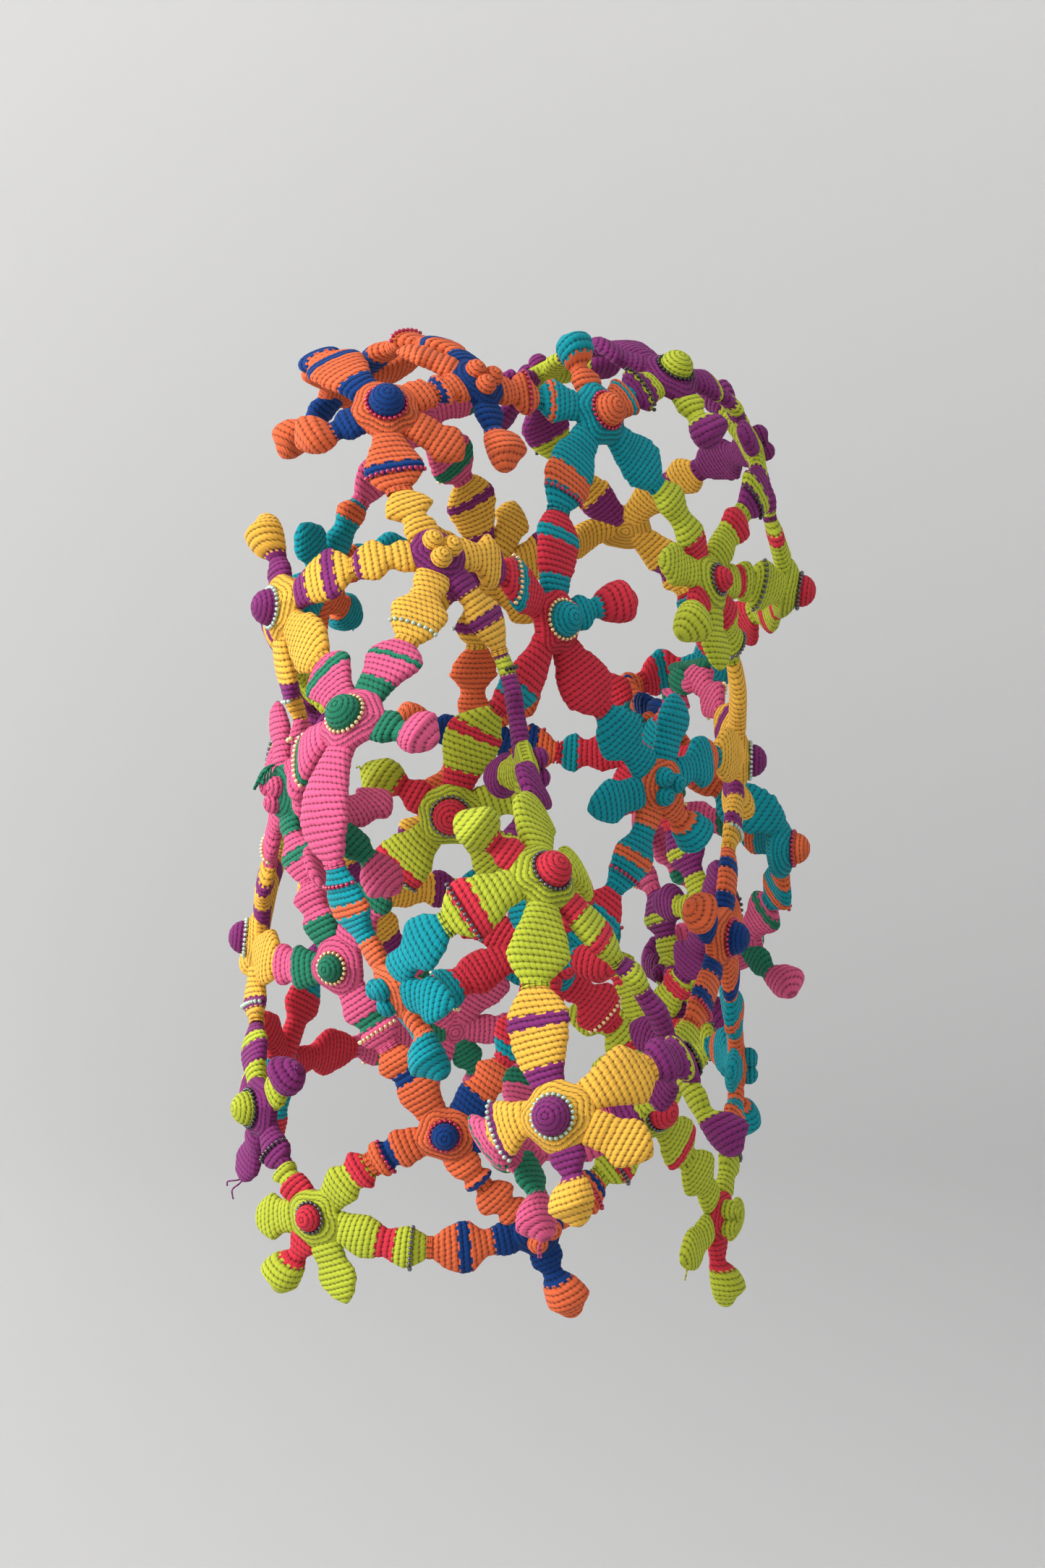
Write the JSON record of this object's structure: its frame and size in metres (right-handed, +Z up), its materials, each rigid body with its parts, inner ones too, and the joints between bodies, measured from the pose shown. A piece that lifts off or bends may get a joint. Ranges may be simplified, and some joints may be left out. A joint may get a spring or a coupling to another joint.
{
  "type": "crochet sweater",
  "caption": "Open net pullover of stuffed crochet flowers, leaves, pods and buds joined tip to tip, with long sleeves, held in its worn shape.",
  "frame": {"origin": "middle of the neck opening, level with the shoulder line", "axes": "+Z up out of the neck, -Y out of the front, +X to the wearer's left"},
  "size_m": [0.6805, 0.6054, 0.7491],
  "materials": {
    "yarn_orange": "matte crochet yarn",
    "yarn_yellow": "matte crochet yarn",
    "yarn_turquoise": "matte crochet yarn",
    "yarn_pink": "matte crochet yarn",
    "yarn_lime": "matte crochet yarn",
    "yarn_purple": "matte crochet yarn",
    "yarn_red": "matte crochet yarn"
  },
  "bodies": {
    "root": {"neck_1": "yarn_turquoise", "neck_2": "yarn_orange", "neck_3": "yarn_orange", "neck_4": "yarn_pink", "neck_5": "yarn_purple", "neck_6": "yarn_purple", "chest_1": "yarn_red", "chest_2": "yarn_lime", "chest_3": "yarn_pink", "chest_4": "yarn_yellow", "chest_5": "yarn_turquoise", "chest_6": "yarn_purple", "waist_1": "yarn_turquoise", "waist_2": "yarn_yellow", "waist_3": "yarn_red", "waist_4": "yarn_orange", "waist_5": "yarn_lime", "waist_6": "yarn_pink", "waist_7": "yarn_lime", "hip_1": "yarn_red", "hip_2": "yarn_orange", "hip_3": "yarn_purple", "hip_4": "yarn_turquoise", "hip_5": "yarn_yellow", "hip_6": "yarn_yellow", "hip_7": "yarn_pink", "hem_1": "yarn_lime", "hem_2": "yarn_turquoise", "hem_3": "yarn_lime", "hem_4": "yarn_pink", "hem_5": "yarn_red", "hem_6": "yarn_purple", "hem_7": "yarn_orange", "drop_1": "yarn_orange", "drop_2": "yarn_lime", "drop_3": "yarn_lime", "sleeve_r_01": "yarn_orange", "sleeve_r_02": "yarn_yellow", "sleeve_r_03": "yarn_yellow", "sleeve_r_04": "yarn_pink", "sleeve_r_05": "yarn_pink", "sleeve_r_06": "yarn_purple", "sleeve_r_07": "yarn_lime", "sleeve_r_08": "yarn_turquoise", "sleeve_r_09": "yarn_red", "sleeve_r_10": "yarn_yellow", "sleeve_r_11": "yarn_pink", "sleeve_r_12": "yarn_purple", "sleeve_l_1": "yarn_purple", "sleeve_l_2": "yarn_lime", "sleeve_l_3": "yarn_yellow", "sleeve_l_4": "yarn_red", "sleeve_l_5": "yarn_orange", "sleeve_l_6": "yarn_turquoise", "sleeve_l_7": "yarn_pink", "sleeve_l_8": "yarn_pink", "sleeve_l_9": "yarn_purple"}
  },
  "joints": []
}
